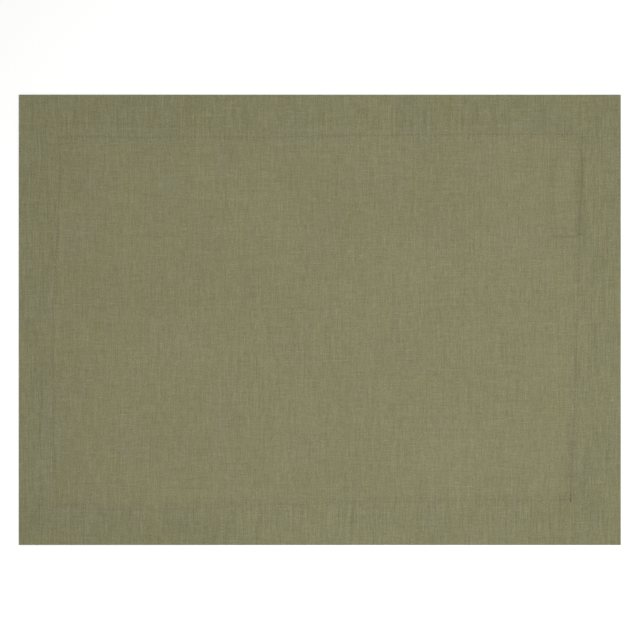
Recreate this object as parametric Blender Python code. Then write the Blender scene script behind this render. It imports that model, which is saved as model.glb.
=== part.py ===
# Fabric placemat: one rectangle of plain-woven cloth whose four edges are turned under into wide,
# stitched hems with mitred corners, and a blank label caught in the right-hand hem underneath.
#
# Metres, +Z up. The origin is on the table under the middle of the mat, +X runs to the right along
# the long side, and +Y runs away from the diner, to the far side.

import math

import bmesh
import bpy
from mathutils import Vector

# The mat as it lies
LENGTH = 0.508
DEPTH = 0.380

# One layer of cloth, and the air between the layers of a hem and round the label
CLOTH = 0.0010
LAYER_GAP = 0.0003

# A hem is the face of the mat, the gap and the turned-under leaf that lies on the table. The leaf
# ends a little past the stitches, and the face stays up a little further, to its crest.
HEM_HEIGHT = 2 * CLOTH + LAYER_GAP
FOLD_RADIUS = HEM_HEIGHT / 2
FOLD_STEPS = 8
LEAF_PAST_STITCH = 0.0015
CREST_PAST_STITCH = 0.0028

# Inside its crest the cloth comes down, in a soft shoulder, and lies on the table
SHOULDER = 0.0070
SHOULDER_STEPS = 5
STEP_DOWN = HEM_HEIGHT - CLOTH

# Each side has this many stations, evenly spaced between its corners
STATIONS = 12
CORNER_ROOM = 0.060

# Each hem's width, from the fold to the stitches, wanders along its side.
# along is measured from the middle of the side, towards +X or +Y.
HEM_WIDTHS = [
    # side, along, width
    ("near", -0.208, 0.0313),
    ("near", -0.131, 0.0303),
    ("near", -0.034, 0.0341),
    ("near", 0.030, 0.0362),
    ("near", 0.156, 0.0379),
    ("near", 0.210, 0.0378),
    ("right", -0.150, 0.0424),
    ("right", -0.110, 0.0413),
    ("right", -0.084, 0.0395),
    ("right", 0.042, 0.0357),
    ("right", 0.084, 0.0353),
    ("right", 0.114, 0.0333),
    ("right", 0.155, 0.0330),
    ("far", -0.220, 0.0350),
    ("far", -0.194, 0.0360),
    ("far", -0.034, 0.0360),
    ("far", 0.042, 0.0344),
    ("far", 0.173, 0.0334),
    ("far", 0.220, 0.0332),
    ("left", -0.150, 0.0295),
    ("left", -0.127, 0.0288),
    ("left", 0.008, 0.0288),
    ("left", 0.076, 0.0330),
    ("left", 0.129, 0.0350),
    ("left", 0.149, 0.0343),
]

# The sides in the order of a walk round the mat, anticlockwise
SIDES = [
    # side, signs of the corner that it starts from, way along it, length
    ("near", (-1, -1), 1, LENGTH),
    ("right", (1, -1), 1, DEPTH),
    ("far", (1, 1), -1, LENGTH),
    ("left", (-1, 1), -1, DEPTH),
]

# The blank label lies on the table beside the leaf of the right-hand hem, under the raised cloth
LABEL_LOW_Y = 0.0712
LABEL_HIGH_Y = 0.1342
LABEL_INNER_X = 0.1975
LABEL_ROOM = 0.0005
LABEL_CORNER = 0.0008
LABEL_CORNER_STEPS = 3

# Colour (linear) and roughness of each finish
LINEN = ((0.242, 0.231, 0.130, 1.0), 0.92)
TAPE = ((0.72, 0.71, 0.66, 1.0), 0.75)


def clear_scene():
    for thing in list(bpy.data.objects):
        bpy.data.objects.remove(thing, do_unlink=True)


def make_material(name, colour, roughness):
    material = bpy.data.materials.new(name)
    material.use_nodes = True
    shader = material.node_tree.nodes["Principled BSDF"]
    shader.inputs["Base Color"].default_value = colour
    shader.inputs["Roughness"].default_value = roughness
    shader.inputs["Metallic"].default_value = 0.0
    return material


def link_piece(name, bm, material):
    mesh = bpy.data.meshes.new(name)
    bm.to_mesh(mesh)
    bm.free()
    mesh.materials.append(material)
    bpy.context.scene.collection.objects.link(bpy.data.objects.new(name, mesh))


def hem_width(side, along):
    """The distance from the fold to the stitches at a place along a side."""
    rows = [(place, width) for name, place, width in HEM_WIDTHS if name == side]
    if along <= rows[0][0]:
        return rows[0][1]
    for (start, before), (end, after) in zip(rows, rows[1:]):
        if along <= end:
            return before + (after - before) * (along - start) / (end - start)
    return rows[-1][1]


def side_point(side, along, depth):
    """The point at this place along a side, this far in from its fold."""
    if side in ("near", "far"):
        sign = 1 if side == "far" else -1
        return Vector((along, sign * (DEPTH / 2 - depth)))
    sign = 1 if side == "right" else -1
    return Vector((sign * (LENGTH / 2 - depth), along))


def side_station(side, along):
    """A point on the fold, the one on the stitches, and where the raised cloth ends: there too."""
    stitch = side_point(side, along, hem_width(side, along))
    return side_point(side, along, 0.0), stitch, stitch


def corner_station(x_sign, y_sign):
    fold = Vector((x_sign * LENGTH / 2, y_sign * DEPTH / 2))
    across = hem_width("right" if x_sign > 0 else "left", fold.y)
    deep = hem_width("far" if y_sign > 0 else "near", fold.x)
    stitch = fold - Vector((x_sign * across, y_sign * deep))
    return fold, stitch, stitch


def label_stations():
    """By the label the raised cloth reaches in over it. Its crest lies outside this outline, and so
    leaves the label its room."""
    kept_in = CREST_PAST_STITCH - LABEL_ROOM
    low, high, inner = LABEL_LOW_Y + kept_in, LABEL_HIGH_Y - kept_in, LABEL_INNER_X + kept_in
    found = []
    for along, end, over_label in [
        # place along the fold, end of the raised cloth, whether it reaches in there
        (low - LABEL_ROOM, low, False),
        (low + LABEL_ROOM, low, True),
        (high - LABEL_ROOM, high, True),
        (high + LABEL_ROOM, high, False),
    ]:
        fold, stitch, _ = side_station("right", along)
        found.append((fold, stitch, Vector((inner if over_label else stitch.x, end))))
    return found


def clear_of_label(side, along):
    """The shoulder round the label needs this much of the right-hand side to itself."""
    return side != "right" or along < LABEL_LOW_Y - CREST_PAST_STITCH - SHOULDER


def stations():
    """The walk round the mat: points on the folds, on the stitches and where the raised cloth ends."""
    found = []
    for side, corner, way, length in SIDES:
        found.append(corner_station(*corner))
        reach = length / 2 - CORNER_ROOM
        places = [way * reach * (2 * i / (STATIONS - 1) - 1) for i in range(STATIONS)]
        found += [side_station(side, along) for along in places if clear_of_label(side, along)]
        if side == "right":
            found += label_stations()
    return found


def inset(outline, distance):
    """A closed outline moved inwards by this distance, with its corners kept sharp."""
    moved = []
    for before, point, after in zip(outline[-1:] + outline, outline, outline[1:] + outline[:1]):
        way_in, way_out = (point - before).normalized(), (after - point).normalized()
        normal_in, normal_out = Vector((-way_in.y, way_in.x)), Vector((-way_out.y, way_out.x))
        moved.append(point + (normal_in + normal_out) * distance / (1 + normal_in.dot(normal_out)))
    return moved


def ease(share):
    return share * share * (3 - 2 * share)


def section():
    """The cloth's section, from the upper side of the field out round the fold and back underneath:
    the outline that each ring follows, how far inside it, and the height."""
    rings = []
    for i in range(SHOULDER_STEPS + 1):
        rise = i / SHOULDER_STEPS
        past = CREST_PAST_STITCH + SHOULDER * (1 - rise)
        rings.append(("crest", past, CLOTH + STEP_DOWN * ease(rise)))
    rings += fold_rings(FOLD_RADIUS, 1)
    rings.append(("stitch", LEAF_PAST_STITCH, 0.0))
    rings.append(("stitch", LEAF_PAST_STITCH, CLOTH))
    rings += fold_rings(LAYER_GAP / 2, -1)
    for i in range(SHOULDER_STEPS + 1):
        fall = i / SHOULDER_STEPS
        past = CREST_PAST_STITCH + SHOULDER * fall
        rings.append(("crest", past, STEP_DOWN * (1 - ease(fall))))
    return rings


def fold_rings(radius, way):
    """A half turn round the fold's middle, from above to below, or back again inside it."""
    turns = [math.pi * i / FOLD_STEPS for i in range(FOLD_STEPS + 1)]
    return [
        ("fold", FOLD_RADIUS - radius * math.sin(turn), FOLD_RADIUS + way * radius * math.cos(turn))
        for turn in turns
    ]


def extrude_rim(bm, rim, points):
    """Extrudes the closed rim of vertices and moves the new ones, one for one, to these points."""
    edges = [bm.edges.get(pair) for pair in zip(rim, rim[1:] + rim[:1])]
    grown = bmesh.ops.extrude_edge_only(bm, edges=edges)["geom"]
    fresh = {part for part in grown if isinstance(part, bmesh.types.BMVert)}
    moved = []
    for vertex, point in zip(rim, points):
        ends = (edge.other_vert(vertex) for edge in vertex.link_edges)
        moved.append(next(end for end in ends if end in fresh))
        moved[-1].co = point
    return moved


def make_cloth(material):
    """The field's upper side, extruded ring by ring round the hems, and closed by its underside."""
    folds, stitches, crests = (list(points) for points in zip(*stations()))
    outlines = {"fold": folds, "stitch": stitches, "crest": crests}
    rings = [
        [Vector((point.x, point.y, height)) for point in inset(outlines[name], distance)]
        for name, distance, height in section()
    ]
    bm = bmesh.new()
    rim = [bm.verts.new(point) for point in rings[0]]
    bm.faces.new(rim)
    for points in rings[1:]:
        rim = extrude_rim(bm, rim, points)
    bm.faces.new(reversed(rim))
    bmesh.ops.recalc_face_normals(bm, faces=bm.faces)
    link_piece("placemat_cloth", bm, material)


def make_label(material):
    """A flat tape with eased corners, which ends one layer gap short of the hem's leaf."""
    widest = max(hem_width("right", along) for along in (LABEL_LOW_Y, LABEL_HIGH_Y))
    outer_x = LENGTH / 2 - widest - LEAF_PAST_STITCH - LAYER_GAP
    size = Vector((outer_x - LABEL_INNER_X, LABEL_HIGH_Y - LABEL_LOW_Y, CLOTH))
    bm = bmesh.new()
    bmesh.ops.create_cube(bm, size=1.0)
    bmesh.ops.scale(bm, vec=size, verts=bm.verts)
    middle = Vector((LABEL_INNER_X, LABEL_LOW_Y, 0.0)) + size / 2
    bmesh.ops.translate(bm, vec=middle, verts=bm.verts)
    corners = [edge for edge in bm.edges if edge.verts[0].co.xy == edge.verts[1].co.xy]
    bmesh.ops.bevel(
        bm,
        geom=corners,
        offset=LABEL_CORNER,
        segments=LABEL_CORNER_STEPS,
        profile=0.5,
        affect="EDGES",
        material=-1,
    )
    link_piece("hem_label", bm, material)


def main():
    clear_scene()
    make_cloth(make_material("linen", *LINEN))
    make_label(make_material("label_tape", *TAPE))


main()
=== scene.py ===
# %% [markdown]
# # A hemmed cloth placemat
#
# The real mat is one rectangle of plain-woven cloth. Its four edges are turned under into wide
# hems, their raw edge is turned in once more, and one line of machine stitches holds them down.
# A blank woven label is caught under the right-hand hem.
#
# This lesson makes the mat as its maker does: cut the cloth flat, fold it, then sew it. The packed
# CAD model says how large the mat is and where it lies. Everything here is in metres, with the
# origin on the table under the middle of the mat, +X to the right, +Y to the far side and +Z up.

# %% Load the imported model
import math

import bmesh
import bpy
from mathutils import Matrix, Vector, noise


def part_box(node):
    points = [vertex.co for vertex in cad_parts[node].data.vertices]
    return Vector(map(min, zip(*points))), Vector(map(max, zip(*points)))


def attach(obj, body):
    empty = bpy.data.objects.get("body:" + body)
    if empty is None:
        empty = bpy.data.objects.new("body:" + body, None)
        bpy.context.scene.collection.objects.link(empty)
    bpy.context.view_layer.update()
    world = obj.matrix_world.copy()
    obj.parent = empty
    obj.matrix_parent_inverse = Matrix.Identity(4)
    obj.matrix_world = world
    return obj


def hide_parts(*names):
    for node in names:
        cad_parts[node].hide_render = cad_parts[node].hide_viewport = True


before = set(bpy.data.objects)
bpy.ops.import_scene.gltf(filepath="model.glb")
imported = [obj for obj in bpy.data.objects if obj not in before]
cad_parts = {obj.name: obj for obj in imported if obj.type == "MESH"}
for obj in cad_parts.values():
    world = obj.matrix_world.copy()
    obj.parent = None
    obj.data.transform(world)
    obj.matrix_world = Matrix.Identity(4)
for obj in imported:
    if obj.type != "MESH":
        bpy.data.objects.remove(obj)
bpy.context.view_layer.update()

mat_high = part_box("placemat_cloth")[1]
label_low, label_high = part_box("hem_label")
HALF_LENGTH, HALF_DEPTH = mat_high.x, mat_high.y
print("mat", round(2 * HALF_LENGTH, 4), "x", round(2 * HALF_DEPTH, 4), "m")

# %% [markdown]
# ## Camera
#
# The mat was photographed from straight above. A long lens far away keeps its edges parallel.
# Similar triangles give the height: the view's width is to it what the sensor's is to the lens.

# %% Look straight down
VIEW_WIDTH = 0.54007
FACE_LEVEL = 0.0014
LENS, SENSOR = 150.0, 36.0
OFF_CENTRE = (0.00012, -0.00010)

scene = bpy.context.scene


def add_object(name, data):
    made = bpy.data.objects.new(name, data)
    scene.collection.objects.link(made)
    return made


camera = bpy.data.cameras.new("camera")
camera.lens = LENS
camera.sensor_width = SENSOR
camera.clip_end = 50.0
viewer = add_object("camera", camera)
viewer.location = (*OFF_CENTRE, FACE_LEVEL + VIEW_WIDTH * LENS / SENSOR)
scene.camera = viewer
print("camera height", round(viewer.location.z, 3))

# %% [markdown]
# ## Light and floor
#
# Soft light from every side shows a fabric's colour. One large lamp, above the mat and a little to
# the right-hand front, makes a pool of light that is brightest right of the middle and falls off
# towards the edges, most of all at the left. The floor is plain and nearly white.

# %% Soft studio light
SKY_LIGHT = 0.49
KEY_PLACE, KEY_SIZE, KEY_POWER = Vector((0.25, -0.15, 1.20)), 0.6, 11.4

world = bpy.data.worlds.new("studio")
scene.world = world
world.use_nodes = True
background = world.node_tree.nodes["Background"]
background.inputs["Color"].default_value = (1.0, 1.0, 1.0, 1.0)
background.inputs["Strength"].default_value = SKY_LIGHT

light = bpy.data.lights.new("key", "AREA")
light.size = KEY_SIZE
light.energy = KEY_POWER
lamp = add_object("key", light)
lamp.location = KEY_PLACE
lamp.rotation_euler = (-KEY_PLACE).to_track_quat("-Z", "Y").to_euler()
scene.view_settings.view_transform = "Standard"
scene.view_settings.look = "None"

# %% Plain pale floor
FLOOR_HALF = 8.0
FLOOR_COLOUR = (0.98, 0.98, 0.975, 1.0)


def make_object(name, bm, material):
    """Turns a bmesh into an object at the origin, smooth and with one material."""
    mesh = bpy.data.meshes.new(name)
    bm.to_mesh(mesh)
    bm.free()
    mesh.materials.append(material)
    mesh.polygons.foreach_set("use_smooth", [True] * len(mesh.polygons))
    return add_object(name, mesh)


floor_finish = bpy.data.materials.new("floor")
floor_finish.use_nodes = True
floor_shader = floor_finish.node_tree.nodes["Principled BSDF"]
floor_shader.inputs["Base Color"].default_value = FLOOR_COLOUR
floor_shader.inputs["Roughness"].default_value = 0.9
floor_shader.inputs["Specular IOR Level"].default_value = 0.1

ground = bmesh.new()
bmesh.ops.create_grid(ground, x_segments=1, y_segments=1, size=FLOOR_HALF)
make_object("floor", ground, floor_finish)

# %% [markdown]
# ## The line of stitches
#
# A hem is never quite even. This table says how wide each one is, from the fold to the stitches,
# at a few places along its side. The average over a short stretch rounds the bends between them,
# and a small noise is the wander of the needle. The widths are kept in a list, because thousands
# of points will ask for them.

# %% How wide the hems are
SIDES = ("near", "right", "far", "left")
AXIS = {"near": 0, "right": 1, "far": 0, "left": 1}
HEM_WIDTHS = {
    # place along the side, towards +X or +Y, and width
    "near": [
        (-0.208, 0.0313), (-0.131, 0.0303), (-0.034, 0.0341),
        (0.030, 0.0362), (0.156, 0.0379), (0.210, 0.0378),
    ],
    "right": [
        (-0.150, 0.0424), (-0.110, 0.0413), (-0.084, 0.0395), (0.042, 0.0357),
        (0.084, 0.0353), (0.114, 0.0333), (0.155, 0.0330),
    ],
    "far": [
        (-0.220, 0.0350), (-0.194, 0.0360), (-0.034, 0.0360),
        (0.042, 0.0344), (0.173, 0.0334), (0.220, 0.0332),
    ],
    "left": [
        (-0.150, 0.0295), (-0.127, 0.0288), (0.008, 0.0288),
        (0.076, 0.0330), (0.129, 0.0350), (0.149, 0.0343),
    ],
}
BEND_STEP = 0.005
NEEDLE_WANDER, WANDERS_PER_METRE = 0.0003, 45
SAMPLE_STEP = 0.002
SAMPLES = round(HALF_LENGTH / SAMPLE_STEP)


def table_width(side, along):
    rows = HEM_WIDTHS[side]
    along = min(max(along, rows[0][0]), rows[-1][0])
    for (start, before), (end, after) in zip(rows, rows[1:]):
        if along <= end:
            return before + (after - before) * (along - start) / (end - start)


def sewn_width(side, along):
    average = sum(table_width(side, along + BEND_STEP * shift) for shift in range(-2, 3)) / 5
    wander = noise.noise(Vector((WANDERS_PER_METRE * along, 7.3 * SIDES.index(side), 0.5)))
    return average + NEEDLE_WANDER * wander


SEWN_WIDTHS = {
    side: [sewn_width(side, SAMPLE_STEP * i) for i in range(-SAMPLES, SAMPLES + 1)]
    for side in SIDES
}


def hem_width(side, along):
    """The distance from the fold to the stitches at a place along a side."""
    at = min(max(along / SAMPLE_STEP + SAMPLES, 0), 2 * SAMPLES - 1e-6)
    left = int(at)
    before, after = SEWN_WIDTHS[side][left], SEWN_WIDTHS[side][left + 1]
    return before + (after - before) * (at - left)


for side in SIDES:
    print(side, "hem", [round(1000 * hem_width(side, along), 1) for along in (-0.1, 0, 0.1)], "mm")

# %% [markdown]
# ## Places on the mat
#
# Every side measures in two directions: along itself, and in from its fold. These helpers turn
# such a pair into a point, and find the corner where two sides' lines meet.

# %% Points and corners
def from_side(side, along, depth):
    """The point at a place along a side, this far in from its fold."""
    sign = 1 if side in ("far", "right") else -1
    if AXIS[side] == 0:
        return Vector((along, sign * (HALF_DEPTH - depth), 0.0))
    return Vector((sign * (HALF_LENGTH - depth), along, 0.0))


def from_each_side(x, y):
    """Each of the four sides, with the place along it and the distance from its fold."""
    return [
        ("near", x, y + HALF_DEPTH),
        ("right", y, HALF_LENGTH - x),
        ("far", x, HALF_DEPTH - y),
        ("left", y, x + HALF_LENGTH),
    ]


def corner(x_sign, y_sign, depth_at):
    """Where two neighbouring lines cross. depth_at(side, along) is each line's depth."""
    x, y = x_sign * HALF_LENGTH, y_sign * HALF_DEPTH
    for _ in range(4):
        x = x_sign * (HALF_LENGTH - depth_at("right" if x_sign > 0 else "left", y))
        y = y_sign * (HALF_DEPTH - depth_at("far" if y_sign > 0 else "near", x))
    return Vector((x, y, 0.0))


# %% The walk round the mat
WALK = {
    # side: signs of the corners where it starts and ends, anticlockwise
    "near": ((-1, -1), (1, -1)),
    "right": ((1, -1), (1, 1)),
    "far": ((1, 1), (-1, 1)),
    "left": ((-1, 1), (-1, -1)),
}
STATION_STEP = 0.0040
MITRE_ROOM = 0.0008


def stations(length):
    """Places along a side, as shares of its length, with one more close to each corner."""
    count = round(length / STATION_STEP)
    edge = MITRE_ROOM / length
    return [0.0, edge] + [i / count for i in range(1, count)] + [1 - edge, 1.0]


ACROSS = stations(2 * HALF_LENGTH)
DEEP = stations(2 * HALF_DEPTH)


def outline(depth_at, side):
    """The points of one side's line, from its first corner to its last."""
    start, end = (corner(*signs, depth_at) for signs in WALK[side])
    axis = AXIS[side]
    row = [start]
    for share in (ACROSS, DEEP)[axis][1:-1]:
        along = start[axis] + (end[axis] - start[axis]) * share
        row.append(from_side(side, along, depth_at(side, along)))
    return row + [end]


print(len(ACROSS), "stations on a long side,", len(DEEP), "on a short one")

# %% [markdown]
# ## How a hem is folded
#
# In section the cloth runs from the face round the outer fold, back inwards as the leaf that lies
# on the table, round a tighter fold just past the stitches, and outwards again as the turned-in
# raw edge. `lay` follows that path: it takes a distance along the cloth from where the outer fold
# begins, and says how deep in from the mat's edge, and how high, the cloth's right side is there.

# %% The hem's section
CLOTH = 0.00045
OUTER_TURN, INNER_TURN = 0.00058, 0.00049
OUTER_ARC = math.pi * (OUTER_TURN - CLOTH / 2)
INNER_ARC = math.pi * (INNER_TURN - CLOTH / 2)
LEAF_PAST_SEAM, TURN_IN, LEAF_LOW = 0.0016, 0.0110, 0.00002


def leaf_edge(side, along):
    """The depth of the middle of the tighter fold, at the leaf's inner edge."""
    return hem_width(side, along) + LEAF_PAST_SEAM - INNER_TURN


def lay(side, along, path):
    """Depth, height and the part of the hem, this far along the cloth past the fold's start."""
    edge = leaf_edge(side, along)
    if path <= OUTER_ARC:
        turn = math.pi * path / OUTER_ARC
        depth = OUTER_TURN * (1 - math.sin(turn))
        return depth, LEAF_LOW + OUTER_TURN * (1 + math.cos(turn)), "fold"
    path -= OUTER_ARC
    if path <= edge - OUTER_TURN:
        return OUTER_TURN + path, LEAF_LOW, "leaf"
    path -= edge - OUTER_TURN
    if path <= INNER_ARC:
        turn = math.pi * path / INNER_ARC
        depth = edge + INNER_TURN * math.sin(turn)
        return depth, LEAF_LOW + INNER_TURN * (1 - math.cos(turn)), "edge"
    return edge - (path - INNER_ARC), LEAF_LOW + 2 * INNER_TURN, "turn_in"


for path in (0.0, OUTER_ARC / 2, OUTER_ARC, 0.02, 0.05):
    print("path", round(1000 * path, 2), "mm:", lay("far", 0.0, path))

# %% [markdown]
# ## The height of the face
#
# Seen from above, the face lies lowest in the field, climbs over a soft shoulder to the hem, is
# highest over the three layers beside the stitches, and ends at the fold. The stitches pull a
# shallow groove, deeper at each needle hole. Cloth that was washed and ironed is never flat, so
# noise at two sizes ripples the field and, less, the hem. The label lifts the cloth above it.

# %% Soft steps and ripples
def ease(low, high, value):
    """A smooth step from 0 at low to 1 at high."""
    share = min(max((value - low) / (high - low), 0.0), 1.0)
    return share * share * (3 - 2 * share)


def blend(first, second, share):
    return first + (second - first) * share


def ripple(x, y, size, seed):
    """Noise from -1 to 1 whose bumps are about this large."""
    return noise.noise(Vector((x / size, y / size, seed)))


# %% Where the needle goes through
STITCH = 0.0033
FEED_SLIP, SLIP_RUN = 0.9, 17


def seam_ends(side):
    """The two corners of a side's stitches as places along it, and its count of stitches."""
    start, end = (corner(*signs, hem_width) for signs in WALK[side])
    return start[AXIS[side]], end[AXIS[side]], round((end - start).length / STITCH)


def feed_wander(side, number):
    """How many stitches the feed of the machine has got ahead by this stitch, or fallen back."""
    count = SEAM[side][2]
    held = math.sin(math.pi * min(max(number / count, 0.0), 1.0))
    slip = noise.noise(Vector((number / SLIP_RUN, 5.1 * SIDES.index(side), 2.5)))
    return FEED_SLIP * held * slip


def stitch_number(side, along):
    """The number of the stitch at a place along a side, with its fraction."""
    start, end, count = SEAM[side]
    number = count * (along - start) / (end - start)
    return number - feed_wander(side, number)


SEAM = {side: seam_ends(side) for side in SIDES}
print("stitches", {side: SEAM[side][2] for side in SIDES})

# %% The label's place and height
TAPE_LAYER, TAPE_TURN, TAPE_GAP = 0.00018, 0.00011, 0.00003
TAPE_CAUGHT_X, TAPE_CLIMB = 0.2240, 0.0042
HEM_LIFT, LIFT_SIZE = 0.00011, 0.045
LABEL_EDGE, END_FADE, CAUGHT_FADE, SIDE_FADE = 0.0001, 0.0020, 0.0030, 0.0014


def lift(x, y):
    """How far a hem stands clear of the table."""
    return HEM_LIFT * (1 + ripple(x, y, LIFT_SIZE, 3.7))


def tape_bottom(x, y):
    """The height of what the label lies on: the table, and then the leaf of the hem."""
    leaf_x = HALF_LENGTH - hem_width("right", y) - LEAF_PAST_SEAM
    on_leaf = LEAF_LOW + 2 * INNER_TURN + lift(x, y)
    return blend(0.0, on_leaf, ease(leaf_x - TAPE_CLIMB, leaf_x + 0.0002, x)) + TAPE_GAP


def over_label(x, y):
    """1 over the label and 0 away from it."""
    across = ease(label_low.x - END_FADE, label_low.x - LABEL_EDGE, x)
    across *= 1 - ease(TAPE_CAUGHT_X + LABEL_EDGE, TAPE_CAUGHT_X + CAUGHT_FADE, x)
    along = ease(label_low.y - SIDE_FADE, label_low.y - LABEL_EDGE, y)
    return across * along * (1 - ease(label_high.y + LABEL_EDGE, label_high.y + SIDE_FADE, y))


# %% Height of the right side
FIELD_TOP, TWO_LAYERS_TOP, THREE_LAYERS_TOP = 0.00072, 0.00108, 0.00156
FOLD_TOP = LEAF_LOW + 2 * OUTER_TURN
SHOULDER, FOLD_RUN = 0.0062, 0.006
TURN_IN_ENDS = (TURN_IN - 0.0022, TURN_IN + 0.0014)
FIELD_RIPPLES = [
    # height, size, seed, and how much it is squeezed across to stretch it along
    (0.00011, 0.050, 1.3, 1.0),
    (0.00005, 0.019, 8.1, 1.0),
    (0.00003, 0.009, 4.4, 0.45),
]
HEM_RIPPLE, HEM_RIPPLE_SIZE = 0.00004, 0.012
SEAM_GROOVE = {"near": 0.00003, "right": 0.00006, "far": 0.00005, "left": 0.00003}
GROOVE_HALF, NEEDLE_DIMPLE, LABEL_PULL = 0.0009, 0.00007, 1.5


def beyond_seam(x, y):
    """How far a point lies past the stitches towards the fold, below 0 in the field. Also the
    side that it is nearest to passing, the place along it, and the distance from its fold."""
    return max(
        (hem_width(side, along) - depth, side, along, depth)
        for side, along, depth in from_each_side(x, y)
    )


def face_height(x, y):
    past, side, along, depth = beyond_seam(x, y)
    field = FIELD_TOP
    for rise, size, seed, squeeze in FIELD_RIPPLES:
        field += rise * ripple(x, squeeze * y, size, seed)
    hem = blend(THREE_LAYERS_TOP, TWO_LAYERS_TOP, ease(*TURN_IN_ENDS, past))
    hem += HEM_RIPPLE * ripple(x, y, HEM_RIPPLE_SIZE, 6.6)
    near_fold = 1 - ease(OUTER_TURN, OUTER_TURN + FOLD_RUN, depth)
    hem = blend(hem, FOLD_TOP, near_fold) + lift(x, y)
    height = blend(field, hem, ease(-SHOULDER, 0.0, past))
    on_label = over_label(x, y)
    if on_label > 0:
        tape_top = tape_bottom(x, y) + TAPE_LAYER + 2 * TAPE_TURN
        height = blend(height, max(height, tape_top + TAPE_GAP + CLOTH), on_label)
    groove = math.exp(-((past / GROOVE_HALF) ** 2))
    if groove < 0.01:
        return height
    hole = 0.5 + 0.5 * math.cos(2 * math.pi * stitch_number(side, along))
    pull = (1 + LABEL_PULL * on_label) * SEAM_GROOVE[side]
    return height - groove * (pull + NEEDLE_DIMPLE * hole)


for name, y in (("field", 0.0), ("hem", 0.17)):
    print(name, round(1000 * face_height(0.1, y), 2), "mm high")

# %% [markdown]
# ## Cut the cloth
#
# The cloth starts as a flat pattern: the field is a grid, and rings of new edges grow outwards
# from its rim to the fold lines. Past each fold line a flap grows on its own, and gets narrower
# at its ends, as the cloth of a mitred corner is cut. Because the pattern is flat, a copy of each
# point's place is also the cloth's own UV map: in it the threads run straight, in metres.

# %% Grow edges outwards
def grow(bm, row, points, closed):
    """Extrudes a row of vertices and moves the new ones, one for one, to these points."""
    pairs = zip(row, row[1:] + row[:1]) if closed else zip(row, row[1:])
    grown = bmesh.ops.extrude_edge_only(bm, edges=[bm.edges.get(pair) for pair in pairs])["geom"]
    fresh = {part for part in grown if isinstance(part, bmesh.types.BMVert)}
    moved = []
    for vertex, point in zip(row, points):
        ends = (edge.other_vert(vertex) for edge in vertex.link_edges)
        moved.append(next(end for end in ends if end in fresh))
        moved[-1].co = point
    return moved


def grid(bm, columns, rows):
    """Adds a grid. Gives the numbers of the column and the row of each of its points."""
    made = bmesh.ops.create_grid(bm, x_segments=columns, y_segments=rows, size=1.0)["verts"]
    return {v: (round((v.co.x + 1) / 2 * columns), round((v.co.y + 1) / 2 * rows)) for v in made}


def line_at(share, past):
    """A line parallel to the stitches: share runs from 0 at the fold to 1 at the stitches, and
    past is how far inside them it lies."""

    def depth_at(side, along):
        return blend(OUTER_TURN, hem_width(side, along), share) + past

    return depth_at


# %% The field is a grid
INSIDE_SEAM = [0.0095, 0.0075, 0.0060, 0.0046, 0.0033, 0.0022, 0.0014, 0.0007]
field_rim = line_at(1.0, INSIDE_SEAM[0])


def field_point(column, row):
    """The grid's point: its lines run between the rim's points on opposite sides."""
    x = blend(-HALF_LENGTH, HALF_LENGTH, ACROSS[column])
    y = blend(-HALF_DEPTH, HALF_DEPTH, DEEP[row])
    for _ in range(4):
        left, right = field_rim("left", y) - HALF_LENGTH, HALF_LENGTH - field_rim("right", y)
        x = blend(left, right, ACROSS[column])
        near, far = field_rim("near", x) - HALF_DEPTH, HALF_DEPTH - field_rim("far", x)
        y = blend(near, far, DEEP[row])
    return Vector((x, y, 0.0))


cloth = bmesh.new()
cut_map = cloth.loops.layers.uv.new("cut")
bake_map = cloth.loops.layers.uv.new("OFBake")
past_layer = cloth.verts.layers.float.new("beyond_seam")
joint_layer = cloth.verts.layers.float.new("on_mitre")
mitre_layer = cloth.verts.layers.int.new("mitre")
columns, rows = len(ACROSS) - 1, len(DEEP) - 1
knots = {place: vertex for vertex, place in grid(cloth, columns, rows).items()}
for (column, row), vertex in knots.items():
    vertex.co = field_point(column, row)
print("field", len(cloth.faces), "faces")

# %% Rings out to the fold lines
SEAM_TO_FOLD = [
    0.98, 0.955, 0.92, 0.87, 0.80, 0.73, 0.68, 0.63,
    0.56, 0.47, 0.37, 0.27, 0.17, 0.09, 0.04, 0.0,
]
rim = [knots[column, 0] for column in range(columns)]
rim += [knots[columns, row] for row in range(rows)]
rim += [knots[column, rows] for column in range(columns, 0, -1)]
rim += [knots[0, row] for row in range(rows, 0, -1)]
ring_lines = [line_at(1.0, past) for past in INSIDE_SEAM[1:] + [0.0]]
ring_lines += [line_at(share, 0.0) for share in SEAM_TO_FOLD]
for depth_at in ring_lines:
    points = [point for side in SIDES for point in outline(depth_at, side)[:-1]]
    rim = grow(cloth, rim, points, closed=True)
print("face", len(cloth.faces), "faces")

# %% A flap on each side
FOLD_STEPS = [OUTER_ARC * i / 8 for i in range(1, 9)]
LEAF_SHARES = [0.03, 0.08, 0.17, 0.28, 0.39, 0.50, 0.61, 0.72, 0.83, 0.90, 0.93, 0.955, 0.98, 1.0]
EDGE_STEPS = [INNER_ARC * i / 6 for i in range(1, 7)]
TURN_IN_STEPS = [TURN_IN * share for share in (0.12, 0.3, 0.55, 0.8, 1.0)]


def flap_paths(side, along):
    """How far along the cloth each line of the flap lies, past the fold's start."""
    run = leaf_edge(side, along) - OUTER_TURN
    paths = FOLD_STEPS + [OUTER_ARC + run * share for share in LEAF_SHARES]
    paths += [OUTER_ARC + run + step for step in EDGE_STEPS]
    return paths + [OUTER_ARC + run + INNER_ARC + step for step in TURN_IN_STEPS]


def flap_row(side, step):
    """A line of the flat flap: its points lie along the side where they do once it is folded."""

    def depth_at(side, along):
        return lay(side, along, flap_paths(side, along)[step])[0]

    row = []
    for point in outline(depth_at, side):
        along = point[AXIS[side]]
        row.append(from_side(side, along, OUTER_TURN - flap_paths(side, along)[step]))
    return row


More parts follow.
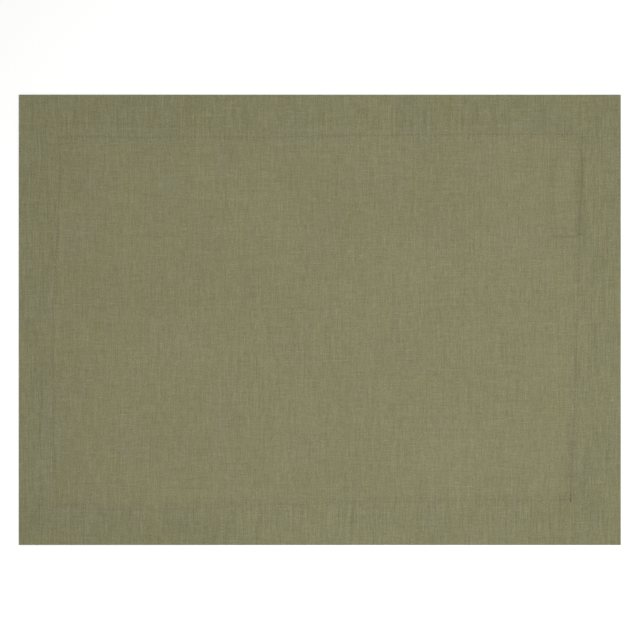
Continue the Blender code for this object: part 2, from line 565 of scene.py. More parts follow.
fold_lines = []
for side in SIDES:
    begin = sum(len(line) - 1 for line in fold_lines)
    fold_lines.append((rim + rim[:1])[begin : begin + len(outline(field_rim, side))])
steps = len(flap_paths("near", 0.0))
for number, side in enumerate(SIDES):
    row = fold_lines[number]
    for step in range(steps):
        row = grow(cloth, row, flap_row(side, step), closed=False)
        row[0][mitre_layer] = 1 + steps * number + step
        row[-1][mitre_layer] = 1 + steps * ((number + 1) % 4) + step
print("cut cloth", len(cloth.faces), "faces")

# %% Finer cloth beside the stitches and over the label
LONG_EDGE, SEAM_ZONE = 0.0020, 0.0015
LABEL_ROOM, CAUGHT_END = 0.006, 0.002


def is_flap(x, y):
    return abs(x) > HALF_LENGTH - OUTER_TURN + 1e-6 or abs(y) > HALF_DEPTH - OUTER_TURN + 1e-6


def beside_seam(edge):
    """Edges that run along the stitches, close to them."""
    start, end = (vertex.co for vertex in edge.verts)
    middle, run = (start + end) / 2, start - end
    if is_flap(*middle.xy) or run.length < LONG_EDGE:
        return False
    past, side = beyond_seam(*middle.xy)[:2]
    return abs(run[AXIS[side]]) > abs(run[1 - AXIS[side]]) and abs(past) < SEAM_ZONE


def by_label(edge):
    middle = (edge.verts[0].co + edge.verts[1].co) / 2
    inside_x = label_low.x - LABEL_ROOM < middle.x < label_high.x - CAUGHT_END
    return inside_x and label_low.y - LABEL_ROOM < middle.y < label_high.y + LABEL_ROOM


seam_edges = [edge for edge in cloth.edges if beside_seam(edge)]
bmesh.ops.subdivide_edges(cloth, edges=seam_edges, cuts=3, use_grid_fill=True)
label_edges = [edge for edge in cloth.edges if by_label(edge) and edge.calc_length() > LONG_EDGE]
bmesh.ops.subdivide_edges(cloth, edges=label_edges, cuts=2, use_grid_fill=True)
bmesh.ops.recalc_face_normals(cloth, faces=cloth.faces)
if sum(face.normal.z for face in cloth.faces) < 0:
    bmesh.ops.reverse_faces(cloth, faces=cloth.faces)
flat_area = sum(face.calc_area() for face in cloth.faces)

# %% The cloth's own UV map, in metres of the flat cut
def keep_flat(bm, uv_map):
    """Writes each point's place in the flat pattern into a UV map, in metres."""
    for face in bm.faces:
        for loop in face.loops:
            loop[uv_map].uv = loop.vert.co.xy


keep_flat(cloth, cut_map)

# %% [markdown]
# ## Fold it
#
# Folding moves each point of the flat pattern to its place on the finished mat. On the face it
# only gets a height. On a flap, `lay` takes it round the folds. The two flaps of a corner then
# meet along its mitre, where they are joined in a fine groove. How far a point lies past the
# stitches, and whether it is on a mitre, are kept as attributes for the cloth's colour.

# %% Fold the flat pattern
MITRE_GROOVE, MITRE_HALF = 0.00016, 0.0005
SEAM_PULL, TURN_IN_PULL, PULL_HALF = 0.00020, 0.00006, 0.0010
ENDS = [
    # long sides, then short ones: the sides at their low and high ends, and half their length
    ("left", "right", HALF_LENGTH),
    ("near", "far", HALF_DEPTH),
]


def mitre_gap(side, along, depth):
    """How far a point of a leaf is from the mitre at the nearer end of its side."""
    low, high, reach = ENDS[AXIS[side]]
    inwards = from_side(side, along, depth)[1 - AXIS[side]]
    share = (depth - OUTER_TURN) / (leaf_edge(side, along) - OUTER_TURN)
    there = leaf_edge(high if along > 0 else low, inwards) - OUTER_TURN
    return reach - abs(along) - OUTER_TURN - share * there


def flap_place(x, y):
    """The side whose fold a point of the flat pattern is nearest to or furthest past, the place
    along it, and how far along the cloth the point lies past the fold's start."""
    side, along, depth = min(from_each_side(x, y), key=lambda row: row[2])
    return side, along, OUTER_TURN - depth


def fold(x, y):
    """The place of a point of the flat pattern on the finished mat, and how far it is past the
    stitches there."""
    side, along, path = flap_place(x, y)
    if path <= 1e-7:
        return Vector((x, y, face_height(x, y))), beyond_seam(x, y)[0]
    depth, height, part = lay(side, along, path)
    place = from_side(side, along, depth)
    past = hem_width(side, along) - depth
    pull = math.exp(-((past / PULL_HALF) ** 2))
    if part == "leaf":
        height += SEAM_PULL * pull
        height += MITRE_GROOVE * math.exp(-((mitre_gap(side, along, depth) / MITRE_HALF) ** 2))
    elif part == "turn_in":
        height -= TURN_IN_PULL * pull
    place.z = height + lift(place.x, place.y)
    return place, past


for vertex in cloth.verts:
    vertex.co, vertex[past_layer] = fold(*vertex.co.xy)
mitres = {}
for vertex in cloth.verts:
    if vertex[mitre_layer]:
        vertex[joint_layer] = 1.0
        mitres.setdefault(vertex[mitre_layer], []).append(vertex)
gap = max((one.co - other.co).length for one, other in mitres.values())
bmesh.ops.weld_verts(cloth, targetmap={one: other for one, other in mitres.values()})
print("joined", len(mitres), "points along the mitres, at most", round(1e6 * gap), "microns apart")

# %% Give it thickness
def thicken(bm, thickness):
    everything = bm.verts[:] + bm.edges[:] + bm.faces[:]
    bmesh.ops.solidify(bm, geom=everything, thickness=thickness)
    print(len(bm.faces), "faces, lowest point", min(v.co.z for v in bm.verts))


cloth.normal_update()
right_side = set(cloth.faces)
thicken(cloth, CLOTH)

# %% [markdown]
# ## A second map for the picture of the cloth
#
# This map lays the cloth out in one square picture. It gives most of it to the face, some to what
# is seen from beneath, and little to the inside of the hems.

# %% Lay the cloth out in a square
SQUARE = {
    # part: size of a metre, and the place of the mat's middle
    "face": (1.75, Vector((0.500, 0.345))),
    "back": (0.78, Vector((0.210, 0.840))),
    "inside": (0.45, Vector((0.560, 0.840))),
    "turn_in": (0.45, Vector((0.850, 0.840))),
}
RAW_EDGE_ROOM = 1.004


def hem_part(face):
    """The part of the hem that a face belongs to, or "face"."""
    spots = [loop[cut_map].uv for loop in face.loops]
    x, y = sum(spot.x for spot in spots) / len(spots), sum(spot.y for spot in spots) / len(spots)
    side, along, path = flap_place(x, y)
    return lay(side, along, path)[2] if path > 0 else "face"


counts = {}
for face in cloth.faces:
    part = hem_part(face)
    past = max(vertex[past_layer] for vertex in face.verts)
    if face in right_side:
        name = {"face": "face", "fold": "face", "leaf": "back"}.get(part, "turn_in")
    elif part == "face" and past < -LEAF_PAST_SEAM:
        name = "back"
    else:
        name = "inside"
    size, centre = SQUARE[name]
    for loop in face.loops:
        spot = loop.vert.co.xy if name == "back" else loop[cut_map].uv
        loop[bake_map].uv = centre + size * spot
    if name == "inside" and len({tuple(loop[cut_map].uv) for loop in face.loops}) < 3:
        for loop in face.loops:
            if not any(other in right_side for other in loop.vert.link_faces):
                loop[bake_map].uv = centre + RAW_EDGE_ROOM * (loop[bake_map].uv - centre)
        name = "raw edge"
    counts[name] = counts.get(name, 0) + 1
print("faces in the square", counts)

# %% [markdown]
# ## Nodes for the finishes
#
# A finish here is a small calculation, made of nodes. A `Value` stands for a node's output, and
# each sign in a formula of values adds one more node, so a formula reads as it does on paper. The
# helpers add their nodes to the finish that was started last.

# %% Values and formulas
class Value:
    """A node's output, for use in formulas."""

    def __init__(self, socket):
        self.socket = socket

    def __add__(self, other):
        return calc("ADD", self, other)

    def __sub__(self, other):
        return calc("SUBTRACT", self, other)

    def __rsub__(self, other):
        return calc("SUBTRACT", other, self)

    def __mul__(self, other):
        return calc("MULTIPLY", self, other)

    def __truediv__(self, other):
        return calc("DIVIDE", self, other)

    def __abs__(self):
        return calc("ABSOLUTE", self)

    __radd__, __rmul__ = __add__, __mul__


def new_finish(name):
    """Starts a material. Gives it and its shader."""
    global tree
    finish = bpy.data.materials.new(name)
    finish.use_nodes = True
    tree = finish.node_tree
    return finish, tree.nodes["Principled BSDF"]


def feed(socket, value):
    """Links a value to a socket, or sets a number or a colour there."""
    if isinstance(value, Value):
        tree.links.new(value.socket, socket)
    else:
        socket.default_value = (*value, 1.0) if socket.type == "RGBA" else value


def add_node(kind, inputs, output=0, **settings):
    """Adds a node and gives one of its outputs."""
    made = tree.nodes.new(kind)
    for name, value in settings.items():
        setattr(made, name, value)
    for name, value in inputs.items():
        feed(made.inputs[name], value)
    return Value(made.outputs[output])


def calc(operation, *values):
    """One step of arithmetic."""
    return add_node("ShaderNodeMath", dict(enumerate(values)), operation=operation)


# %% Helpers for nodes
def spread(value, low, high, to_low=0.0, to_high=1.0, smooth=True):
    """Turns low to high into to_low to to_high, and holds it there outside them."""
    inputs = {0: value, 1: low, 2: high, 3: to_low, 4: to_high}
    kind = "SMOOTHSTEP" if smooth else "LINEAR"
    return add_node("ShaderNodeMapRange", inputs, interpolation_type=kind)


def trio(x, y, z=0.0):
    """Three values as one vector or colour."""
    return add_node("ShaderNodeCombineXYZ", {0: x, 1: y, 2: z})


def two_axes(spot):
    return [add_node("ShaderNodeSeparateXYZ", {0: spot}, axis) for axis in (0, 1)]


def map_axes(uv_map):
    """The two coordinates of one of a piece's own UV maps."""
    return two_axes(add_node("ShaderNodeUVMap", {}, uv_map=uv_map))


def attribute(name):
    """A value kept at each of a piece's points."""
    return add_node("ShaderNodeAttribute", {}, "Fac", attribute_name=name)


def noise_at(vector, detail, dimensions, output=0):
    inputs = {"Vector": vector, "Scale": 1.0, "Detail": detail}
    return add_node("ShaderNodeTexNoise", inputs, output, noise_dimensions=dimensions)


def grain(spot, wide, high, seed, detail=1.0):
    """Noise around 0 whose blots are about this wide and high, in the units of the spot."""
    x, y = spot
    return noise_at(trio(x / wide, y / high, seed), detail, "3D") - 0.5


def mix_colours(share, first, second, blend_type="MIX"):
    inputs = {0: share, 6: first, 7: second}
    return add_node("ShaderNodeMix", inputs, 2, data_type="RGBA", blend_type=blend_type)


def multiplied(colour, tint):
    return mix_colours(1.0, colour, tint, "MULTIPLY")


def tinted(colour, share, tint):
    """The colour, multiplied by a tint where share is 1."""
    return mix_colours(share, colour, multiplied(colour, tint))


def feed_shader(shader, colour, roughness, relief, depth, strength, specular):
    """Gives a finish its colour, roughness, relief and shine."""
    feed(shader.inputs["Base Color"], colour)
    feed(shader.inputs["Roughness"], roughness)
    inputs = {"Height": relief, "Distance": depth, "Strength": strength}
    feed(shader.inputs["Normal"], add_node("ShaderNodeBump", inputs))
    shader.inputs["Specular IOR Level"].default_value = specular


# %% [markdown]
# ## The linen
#
# Plain weave is one thread over, one thread under. The warp here is olive and the weft a greyish
# mauve, which gives the cloth its fleck. Linen yarn is thick and thin by turns, so each thread
# has its own tone and width, which change along it. A thread's number is its place across the
# cloth rounded down, and noise that reads this number is the same all across one thread.
#
# Tints lie over the weave. Clouds of colour come from uneven dye. Painted shade lays a dark line
# along the stitches and a crease at the label's lower end, and lies where the cloth sinks beside
# the label and bunches at the near right corner. Painted shade also darkens the gaps between
# threads, and painted light and shade lie along the hems. The mitres get a line on the back. Each
# tint is held to its place by the flat map or by how far a point is past the stitches.

# %% Threads
# pitch, unevenness and seed
WARP, WEFT = (0.00056, 0.60, 1.0), (0.00062, 0.45, 21.0)
DRIFTS = [
    # width and height of the noise, its seed, and how many threads it shifts them by
    (0.040, 0.150, 0.0, 5.0),
    (0.004, 0.020, 3.0, 1.1),
]
TONES = [
    # length along the thread, seed and weight
    (0.045, 7.0, 0.9),
    (0.010, 9.0, 1.3),
]
THREAD_APART = 7.31
HALF_WIDTH, THICK_AND_THIN, THICK_LENGTH = 0.62, 0.4, 0.006


def threads(across, along, pitch, uneven, seed):
    """A set of parallel threads. Gives the place across them in threads, each one's number, how
    round it stands up, and its tone, which varies more in uneven yarn."""
    at = across / pitch
    for wide, high, step, shift in DRIFTS:
        at += shift * grain((across, along), wide, high, seed + step)
    number = calc("FLOOR", at)
    own = (number * THREAD_APART, along)
    thick = grain(own, 1.0, THICK_LENGTH, seed + 5.0)
    off = abs(calc("FRACT", at) - 0.5) / (HALF_WIDTH + THICK_AND_THIN * uneven * thick)
    tone = 0.5
    for length, step, weight in TONES:
        tone += weight * uneven * grain(own, 1.0, length, seed + step)
    return at, number, 1 - off * off, tone


def over_under(stands, number, crossing, way):
    """The height of a thread as it passes over and under the ones that cross it."""
    wave = calc("COSINE", (crossing - 0.5 - number) * math.pi)
    return 0.6 * stands + 0.4 * way * wave


# %% Where the cloth shows what is beneath it
# The label's tint is the white tape showing through the thin cloth. The crease, groove, shoulder,
# seam and corner tints are painted shade.
LABEL_TINT, PAINTED_CREASE_SHADE = (1.020, 1.020, 1.025), (0.870, 0.865, 0.860)
PAINTED_GROOVE_SHADE, PAINTED_SHOULDER_SHADE = (0.943, 0.933, 0.918), (0.957, 0.950, 0.945)
PAINTED_SEAM_SHADE, PAINTED_CORNER_SHADE = (0.952, 0.942, 0.940), (0.930, 0.932, 0.930)
LABEL_ENDS = (label_low.y, label_high.y)

# Patches of the cloth: their range across, their range along and the softness of their edges
LABEL_FACE = ((label_low.x + 0.0015, label_high.x + 0.0010), LABEL_ENDS, 0.0018)
LABEL_FALL = ((label_low.x - 0.0060, label_low.x + 0.0005), LABEL_ENDS, 0.0014)
CREASE = ((0.1955, 0.2195), (label_low.y - 0.0020, label_low.y + 0.0006), 0.0009)
CREASE_FADES = (0.2080, 0.2130)
PINNED = ((0.2176, 0.2222), (0.0711, 0.0728), 0.0006)
PIN = ((0.2177, 0.2188), (0.0704, 0.0731), 0.0004)
RIGHT_SIDE = ((0.2050, 0.2540), (-0.1505, 0.1545), 0.0012)
NEAR_CORNER = ((0.2030, 0.2310), (-0.1620, -0.1240), 0.0060)

# Bands along the stitches: how far past them each starts and ends, and how soft its edges are
SEAM_LINE, NEAR_TO_FAR = (-0.0003, 0.0008, 0.0005), (-0.1500, 0.1500)
RIGHT_LINE, RIGHT_GROOVE = (-0.0002, 0.0007, 0.0005), (-0.0010, 0.0024, 0.0010)
RIGHT_SHOULDER, SHIFT_BY_LABEL = (-0.0045, 0.0030, 0.0022), -0.0018

# Stretches of the right-hand seam, and its blotches of painted shade
BESIDE_LABEL, PALER_FROM = (label_low.y, label_high.y + 0.0040, 0.0020), (0.1000, 0.1250)
ABOVE_LABEL, LOW_END = (label_high.y + 0.0040, label_high.y + 0.0060), (-0.0800, -0.0560)
BLOTCH = (0.0050, 0.0090, 33.0)


def band(value, low, high, soft):
    """1 between low and high, and 0 outside them, with soft edges."""
    up = spread(value, low - soft, low + soft)
    return up * spread(value, high - soft, high + soft, 1.0, 0.0)


def patch(spot, x_range, y_range, soft):
    """1 in a rectangle of the cloth, and 0 outside it, with soft edges."""
    return band(spot[0], *x_range, soft) * band(spot[1], *y_range, soft)


def label_shows(colour, spot):
    """The face over the label: a little lighter than the cloth at its inner end, with painted shade
    in a soft crease at its lower end and beside its inner edge, darkest where the seam pins it."""
    colour = tinted(colour, patch(spot, *LABEL_FACE), LABEL_TINT)
    # Painted shade in the crease at the label's lower end, beside its inner edge, and where the
    # seam pins it
    crease = patch(spot, *CREASE) * spread(spot[0], *CREASE_FADES, 1.0, 0.55)
    crease += 0.25 * patch(spot, *LABEL_FALL)
    colour = tinted(colour, crease, PAINTED_CREASE_SHADE)
    for place in (PINNED, PIN):
        colour = tinted(colour, patch(spot, *place), PAINTED_CREASE_SHADE)
    return colour


def seam_shows(colour, spot, past):
    """All round, painted shade lays a thin dark line in the groove of the stitches, faintest on the
    near side.
    """
    strength = spread(spot[1], *NEAR_TO_FAR, 0.25, 1.0, smooth=False)
    return tinted(colour, band(past, *SEAM_LINE) * strength, PAINTED_SEAM_SHADE)


def right_seam(colour, spot, past):
    """The right-hand seam lies deeper than the others. Painted shade gives it a dark groove and a
    wider shade beside the label, and blotches of the same near its lower corner."""
    along = spot[1]
    on_right = patch(spot, *RIGHT_SIDE)
    patchy = spread(grain(spot, *BLOTCH), -0.12, 0.12, 0.15, 1.0)
    beside = band(along, *BESIDE_LABEL) * spread(patchy, 0.15, 1.0, 0.75, 1.0)
    beside *= spread(along, *PALER_FROM, 1.0, 0.75)
    above = spread(along, *ABOVE_LABEL)
    low = spread(along, *LOW_END, 1.0, 0.0) * patchy
    # Painted shade: a thin dark line and a groove along the seam, a shoulder beside the label, and
    # blotches near the lower corner
    colour = tinted(colour, 0.7 * on_right * band(past, *RIGHT_LINE), PAINTED_GROOVE_SHADE)
    depth = 0.20 + 0.70 * beside + 0.35 * above + 0.20 * low
    colour = tinted(colour, depth * on_right * band(past, *RIGHT_GROOVE), PAINTED_GROOVE_SHADE)
    shoulder = on_right * band(past + SHIFT_BY_LABEL * beside, *RIGHT_SHOULDER)
    colour = tinted(colour, shoulder * (1.15 * beside + 0.6 * low), PAINTED_SHOULDER_SHADE)
    return tinted(colour, patchy * patch(spot, *NEAR_CORNER), PAINTED_CORNER_SHADE)


# %% Grain and shade
GRAINS = {
    # width, height, seed, detail, and weight in the field and in the hems
    "fine": (0.0008, 0.0260, 45.0, 1.0, 0.10, 0.33),
    "speckle": (0.0011, 0.0011, 48.0, 0.0, 0.12, 0.22),
    "upright": (0.0024, 0.0500, 50.0, 1.0, 0.08, 0.22),
    "level": (0.0140, 0.0010, 60.0, 1.0, 0.07, 0.07),
    "blotch": (0.0650, 0.0650, 70.0, 0.0, 0.07, 0.07),
}
SLUBS = [(0.0009, 0.0090, 80.0, 0.0), (0.0100, 0.0009, 90.0, 0.0)]
SLUB_FROM, SLUB_WEIGHT = (0.23, 0.33), 0.16
CROSSING_WEIGHT = 0.19
# Painted light and shade on the hems: the rows of the long hems, the middle of their glow, and the
# left-hand hem with its corners
NEAR_HEM, FAR_HEM, PAINTED_GLOW_X = (-0.164, -0.148), (0.148, 0.164), 0.060
LEFT_HEM, LEFT_PAINTED_SHADE, TO_CORNER = (-0.2300, -0.1850), -0.040, (0.070, 0.145)


def painted_hem_light(spot, past):
    """Painted light and shade on the long hems: lighter near their middle and darker towards their
    ends, the near hem more than the far one. Painted shade also darkens the field beside the
    left-hand hem, and the hem a little, most of all towards the corners."""
    across, along = spot
    long_hem = spread(along, *NEAR_HEM, 0.8, 0.0) + spread(along, *FAR_HEM, 0.0, 0.4)
    painted_glow = long_hem * spread(abs(across - PAINTED_GLOW_X), 0.030, 0.190, 0.030, -0.028)
    left = spread(across, *LEFT_HEM, 1.0, 0.0) * spread(past, -0.0010, 0.0010, 1.0, 0.2)
    return painted_glow + LEFT_PAINTED_SHADE * left * spread(abs(along), *TO_CORNER, 0.5, 1.8)


def crossing_tones(warp_number, weft_number):
    """A tone of its own for each place where two threads cross."""
    crossing = {0: trio(warp_number, weft_number)}
    return add_node("ShaderNodeTexWhiteNoise", crossing, noise_dimensions="2D") - 0.5


# %% Linen
WARP_DARK, WARP_LIGHT = (0.131, 0.131, 0.050), (0.274, 0.275, 0.150)
WEFT_DARK, WEFT_LIGHT = (0.131, 0.119, 0.055), (0.264, 0.241, 0.166)
FIELD_TINT, HEM_TINT = (0.941, 0.929, 0.888), (0.912, 0.913, 0.876)
TWO_LAYERS_TINT, TWO_LAYERS_FROM = (0.980, 0.984, 0.980), (TURN_IN - 0.0015, TURN_IN + 0.0010)
FLECK, CLOUD = (0.0011, (0.58, 0.28, 0.63)), (0.0040, (0.19, 0.10, 0.27))
DULL_TINT, RICH_TINT = (0.985, 0.998, 1.028), (1.012, 1.002, 0.975)
RICH_PATCHES = (0.030, 0.045, 30.0, 2.0)
MITRE_TINT = (0.60, 0.59, 0.58)
MEAN_SHADE, BLUE_GAIN = 0.97, 1.4


def speckled(spot, size, amount):
    """Faint colours around white, in blots of this size, from the mixed fibres of the yarn."""
    colours = noise_at(trio(spot[0] / size, spot[1] / size), 1.0, "2D", 1)
    inputs = {0: colours, 1: amount, 2: [1 - part / 2 for part in amount]}
    return add_node("ShaderNodeVectorMath", inputs, operation="MULTIPLY_ADD")


def linen_finish():
    finish, shader = new_finish("linen")
    across, along = spot = map_axes("cut")
    past = attribute("beyond_seam")
    in_hem = spread(past, -0.0075, -0.0004)

    warp_at, warp_number, warp_stands, warp_tone = threads(across, along, *WARP)
    weft_at, weft_number, weft_stands, weft_tone = threads(along, across, *WEFT)
    warp = over_under(warp_stands, warp_number, weft_at, 1)
    weft = over_under(weft_stands, weft_number, warp_at, -1)
    height = calc("MAXIMUM", warp, weft)

    warp_colour = mix_colours(spread(warp_tone, 0.0, 1.0), WARP_DARK, WARP_LIGHT)
    weft_colour = mix_colours(spread(weft_tone, 0.0, 1.0), WEFT_DARK, WEFT_LIGHT)
    colour = mix_colours(spread(warp - weft, -0.15, 0.15), weft_colour, warp_colour)
    rich = spread(grain(spot, *RICH_PATCHES), -0.2, 0.2)
    colour = multiplied(colour, mix_colours(rich, DULL_TINT, RICH_TINT))
    colour = multiplied(colour, speckled(spot, *FLECK))
    in_clouds = spread(in_hem, 0.0, 1.0, 0.55, 1.0)
    colour = tinted(colour, in_clouds, speckled(spot, *CLOUD))
    colour = multiplied(colour, mix_colours(in_hem, FIELD_TINT, HEM_TINT))
    colour = tinted(colour, spread(past, *TWO_LAYERS_FROM), TWO_LAYERS_TINT)
    colour = label_shows(colour, spot)
    colour = seam_shows(colour, spot, past)
    colour = right_seam(colour, spot, past)
    colour = tinted(colour, spread(attribute("on_mitre"), 0.40, 0.90), MITRE_TINT)

    # Painted shade: the cloth is darker where the weave lies low, in the gaps between the threads.
    # The hems' painted light and shade, and tones that differ at random, are added to it.
    shade = spread(height, 0.0, 0.75, 0.76, 1.06) + painted_hem_light(spot, past)
    shade += CROSSING_WEIGHT * crossing_tones(warp_number, weft_number)
    grains = {}
    for name, (*looks, in_field, at_hem) in GRAINS.items():
        grains[name] = grain(spot, *looks)
        shade += grains[name] * spread(in_hem, 0.0, 1.0, in_field, at_hem)
    for looks in SLUBS:
        shade += SLUB_WEIGHT * spread(grain(spot, *looks), *SLUB_FROM)
    bluer = (1 - BLUE_GAIN) * MEAN_SHADE + BLUE_GAIN * shade
    colour = multiplied(colour, trio(shade, shade, bluer))

    roughness = spread(height, 0.0, 1.0, 0.97, 0.80)
    relief = height + 0.8 * grains["upright"] + 0.3 * grains["level"]
    feed_shader(shader, colour, roughness, relief, 0.00008, 1.0, 0.2)
    shader.inputs["Sheen Weight"].default_value = 0.12
    shader.inputs["Sheen Roughness"].default_value = 0.6
    return finish


folded_cloth = make_object("folded_cloth", cloth, linen_finish())
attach(folded_cloth, "root")
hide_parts("placemat_cloth")

# %% [markdown]
# ## The label
#
# The label is a strip of woven tape, folded double, with its raw ends caught in the seam. It lies
# under the field, climbs onto the leaf of the hem and ends between the leaf and the face. A strip
# of grid is rolled round its fold and laid on whatever is beneath it.

# %% Tape finish
TAPE_DARK, TAPE_LIGHT = (0.60, 0.59, 0.54), (0.80, 0.79, 0.74)
RIB_PITCH, PICK_PITCH = 0.00050, 0.00035
WORN = (0.004, 0.0015, 5.0, 3.0)


def tape_finish():
    finish, shader = new_finish("label_tape")
    across, along = spot = map_axes("cut")
    rib = calc("SINE", along * (2 * math.pi / RIB_PITCH))
    pick = calc("SINE", across * (2 * math.pi / PICK_PITCH))
    weave = rib * (1 + 0.35 * pick)
    tone = 0.55 + 0.22 * weave + 0.9 * grain(spot, *WORN)
    colour = mix_colours(tone, TAPE_DARK, TAPE_LIGHT)
    feed_shader(shader, colour, 0.70 - 0.08 * weave, weave, 0.00003, 0.8, 0.3)
    shader.inputs["Sheen Weight"].default_value = 0.1
    return finish


# %% Roll the tape and lay it down
TAPE_ROUND = [math.pi * TAPE_TURN * i / 12 for i in range(-6, 7)]
TAPE_FLAT = 0.0004
half_cut = TAPE_CAUGHT_X - label_low.x - TAPE_TURN + math.pi * TAPE_TURN / 2
TAPE_RUN = [TAPE_FLAT + (half_cut - TAPE_FLAT) * i / 30 for i in range(31)]
TAPE_STOPS = [-stop for stop in reversed(TAPE_RUN)] + TAPE_ROUND + TAPE_RUN
TAPE_ROWS = 28


def tape_middle(x, y):
    """The height of the middle of the doubled tape, which the seam pinches under the face."""
    room = face_height(x, y) - CLOTH - TAPE_GAP / 2
    top = room - TAPE_LAYER / 2 - 2 * TAPE_TURN
    return min(tape_bottom(x, y) + TAPE_LAYER / 2, top) + TAPE_TURN


def roll_tape(stop, y):
    """The place on the laid tape of a point this far from its fold, below 0 underneath."""
    half_round = math.pi * TAPE_TURN / 2
    turn = max(min(stop / TAPE_TURN, math.pi / 2), -math.pi / 2)
    x = label_low.x + TAPE_TURN * (1 - math.cos(turn)) + max(abs(stop) - half_round, 0.0)
    return Vector((x, y, tape_middle(x, y) + TAPE_TURN * math.sin(turn)))


tape = bmesh.new()
tape_map = tape.loops.layers.uv.new("cut")
for vertex, (stop, row) in grid(tape, len(TAPE_STOPS) - 1, TAPE_ROWS).items():
    y = blend(label_low.y, label_high.y, row / TAPE_ROWS)
    vertex.co = Vector((TAPE_STOPS[stop], y, 0.0))
keep_flat(tape, tape_map)
for vertex in tape.verts:
    vertex.co = roll_tape(vertex.co.x, vertex.co.y)
tape.normal_update()
for vertex in tape.verts:
    vertex.co += vertex.normal * TAPE_LAYER / 2
thicken(tape, TAPE_LAYER)
clearance = min(
    face_height(v.co.x, v.co.y) - CLOTH - v.co.z
    for v in tape.verts
    if beyond_seam(v.co.x, v.co.y)[0] < -0.001
)
print("tape clears the face by", round(1e6 * clearance), "microns")
label = make_object("label", tape, tape_finish())
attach(label, "root")
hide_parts("hem_label")

# %% [markdown]
# ## The stitches
#
# A lockstitch shows one short thread after another, each of which dives into the next needle
# hole. One stitch is a grid rolled into a tube and bent over its two holes. There are hundreds,
# so each has few faces. Its own map runs along it and around it, so that its finish can paint
# shade on both ends, where they go down into the cloth, and give it the twist of sewing thread.

# %% Thread finish
THREAD_DARK, THREAD_LIGHT = (0.225, 0.188, 0.134), (0.340, 0.292, 0.210)
TACK_SHADED_DARK, TACK_SHADED_LIGHT = (0.096, 0.059, 0.064), (0.156, 0.103, 0.109)
# Painted shade: the dark ends of the thread in its needle holes, darker on the far side and beside
# the label
NEAR_HOLE_SHADE, FAR_HOLE_SHADE = (0.140, 0.117, 0.084), (0.098, 0.081, 0.058)
DEEP_HOLE_SHADE = (0.088, 0.067, 0.042)
# Painted shade on the thread where the seam sinks beside the label
BY_LABEL = (0.88, 0.84, 0.73)
TWISTS, HOLE_FROM = 9.0, (0.37, 0.43)
SUNK_X, SUNK_Y = (0.2040, 0.2080), (label_low.y, 0.1560, 0.0020)


def thread_finish(name, dark_side, light_side):
    finish, shader = new_finish(name)
    along, around = map_axes("thread")
    twist = calc("SINE", (TWISTS * along + 2 * around) * (2 * math.pi))
    colour = mix_colours(0.5 + 0.4 * twist, dark_side, light_side)
    x, y = two_axes(add_node("ShaderNodeTexCoord", {}, "Object"))
    sunk = band(y, *SUNK_Y) * spread(x, *SUNK_X)
    # Painted shade on the thread beside the label
    colour = tinted(colour, sunk, BY_LABEL)
    # Painted shade at both ends of a stitch, where the thread goes down into its hole
    hole = mix_colours(spread(y, -0.15, 0.15), NEAR_HOLE_SHADE, FAR_HOLE_SHADE)
    hole = mix_colours(sunk, hole, DEEP_HOLE_SHADE)
    end = abs(calc("FRACT", along) - 0.5)
    colour = mix_colours(spread(end, *HOLE_FROM), colour, hole)
    feed_shader(shader, colour, 0.68 - 0.08 * twist, twist, 0.00004, 0.8, 0.3)
    return finish


thread = thread_finish("sewing_thread", THREAD_DARK, THREAD_LIGHT)

# %% One stitch
SECTIONS, AROUND = 6, 6
SPREAD_OF_SECTIONS = [0.0, 0.09, 0.20, 0.50, 0.80, 0.91, 1.0]
DIVE_SHARE, RISE, DIVE, SWELL = 0.18, 0.5, 0.9, 0.2


def add_stitch(bm, thread_map, start, end, level, radius, way):
    """A tube from one needle hole to the next. level(x, y) is the height of the cloth, and way is
    1 on the face and -1 on the back."""
    spots = grid(bm, SECTIONS, AROUND)
    for face in {face for vertex in spots for face in vertex.link_faces}:
        for loop in face.loops:
            section, row = spots[loop.vert]
            loop[thread_map].uv = (SPREAD_OF_SECTIONS[section], row / AROUND)
    run = (end - start).normalized()
    aside = Vector((-run.y, run.x, 0.0))
    for vertex, (section, row) in spots.items():
        at = SPREAD_OF_SECTIONS[section]
        middle = start.lerp(end, at)
        dive = 1 - ease(0.0, DIVE_SHARE, min(at, 1 - at))
        rise = radius * (RISE - DIVE * dive)
        turn = 2 * math.pi * row / AROUND
        thick = radius * (1 + SWELL * dive)
        vertex.co = middle + aside * thick * math.cos(turn) * way
        vertex.co.z = level(middle.x, middle.y) + way * rise + thick * math.sin(turn)
    bmesh.ops.remove_doubles(bm, verts=list(spots), dist=0.000005)


# %% Needle holes
HOLE_SCATTER, SCATTER_STEP = 0.00010, 1.37


def needle_holes(side):
    """The places of a side's needle holes, from its first corner to its last."""
    start, end, count = SEAM[side]
    holes = []
    for number in range(count + 1):
        along = blend(start, end, (number + feed_wander(side, number)) / count)
        place = from_side(side, along, hem_width(side, along))
        if 0 < number < count:
            shift = noise.noise_vector(Vector((number * SCATTER_STEP, SIDES.index(side), 0.5)))
            place += HOLE_SCATTER * Vector((shift.x, shift.y, 0.0))
        holes.append(place)
    return holes


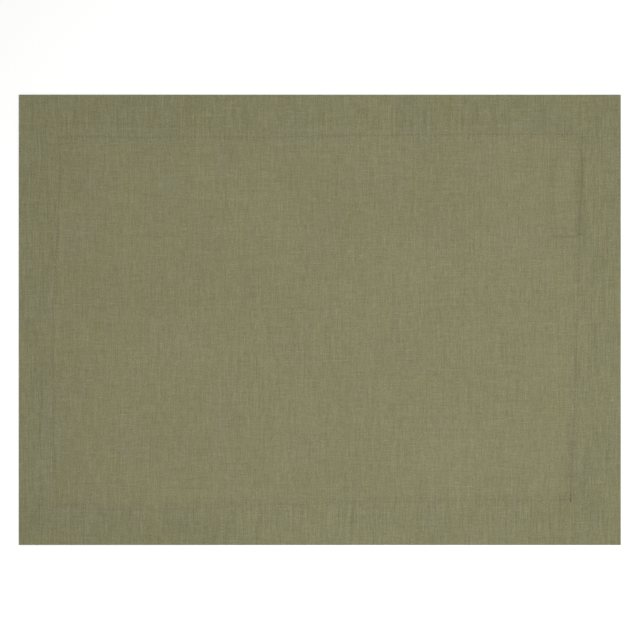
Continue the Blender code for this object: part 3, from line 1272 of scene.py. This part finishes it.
def leaf_level(x, y):
    """The height of the leaf's lower side at the seam."""
    return LEAF_LOW + SEAM_PULL + lift(x, y)


# %% Sew both sides
FACE_THREAD, BACK_THREAD = 0.00017, 0.00011


def make_seam(name, runs, level, radius, way, finish):
    """One piece from several runs of needle holes."""
    seam = bmesh.new()
    thread_map = seam.loops.layers.uv.new("thread")
    for holes in runs:
        for start, end in zip(holes, holes[1:]):
            add_stitch(seam, thread_map, start, end, level, radius, way)
    ends = [edge for edge in seam.edges if edge.is_boundary]
    bmesh.ops.holes_fill(seam, edges=ends, sides=AROUND)
    bmesh.ops.recalc_face_normals(seam, faces=seam.faces)
    print(name, len(seam.faces), "faces, lowest", min(v.co.z for v in seam.verts))
    stitches = make_object(name, seam, finish)
    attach(stitches, "root")


rounds = [needle_holes(side) for side in SIDES]
make_seam("face_stitches", rounds, face_height, FACE_THREAD, 1, thread)
make_seam("back_stitches", rounds, leaf_level, BACK_THREAD, -1, thread)

# %% [markdown]
# ## The tack
#
# The seam starts and ends at the near right corner. There the machine sews back and forth over a
# few stitches, so that the thread can't come loose. The crowded thread is pressed into the cloth
# and lies in shade, so this piece has a darker finish of its own, with that shade painted in.

# %% Sew back and forth
TACKS = [
    # how far a pass lies past the seam towards the field, its side, and its holes along it
    (0.00020, "near", [0.2018, 0.2046, 0.2069, 0.2093, 0.2112]),
    (-0.00015, "right", [-0.1537, -0.1519, -0.1502]),
    (0.00017, "right", [-0.1537, -0.1519, -0.1502]),
    (0.00002, "right", [-0.1502, -0.1484, -0.1462]),
]
passes = [
    [from_side(side, place, hem_width(side, place) + past) for place in places]
    for past, side, places in TACKS
]
# A darker copy of the thread's finish: painted shade on the crowded thread of the tack
shaded_tack_thread = thread_finish("shaded_tack_thread", TACK_SHADED_DARK, TACK_SHADED_LIGHT)


def on_seam(x, y):
    """The tack lies on top of the stitches that it holds."""
    return face_height(x, y) + 0.5 * FACE_THREAD


make_seam("tacked_stitches", passes, on_seam, FACE_THREAD, 1, shaded_tack_thread)
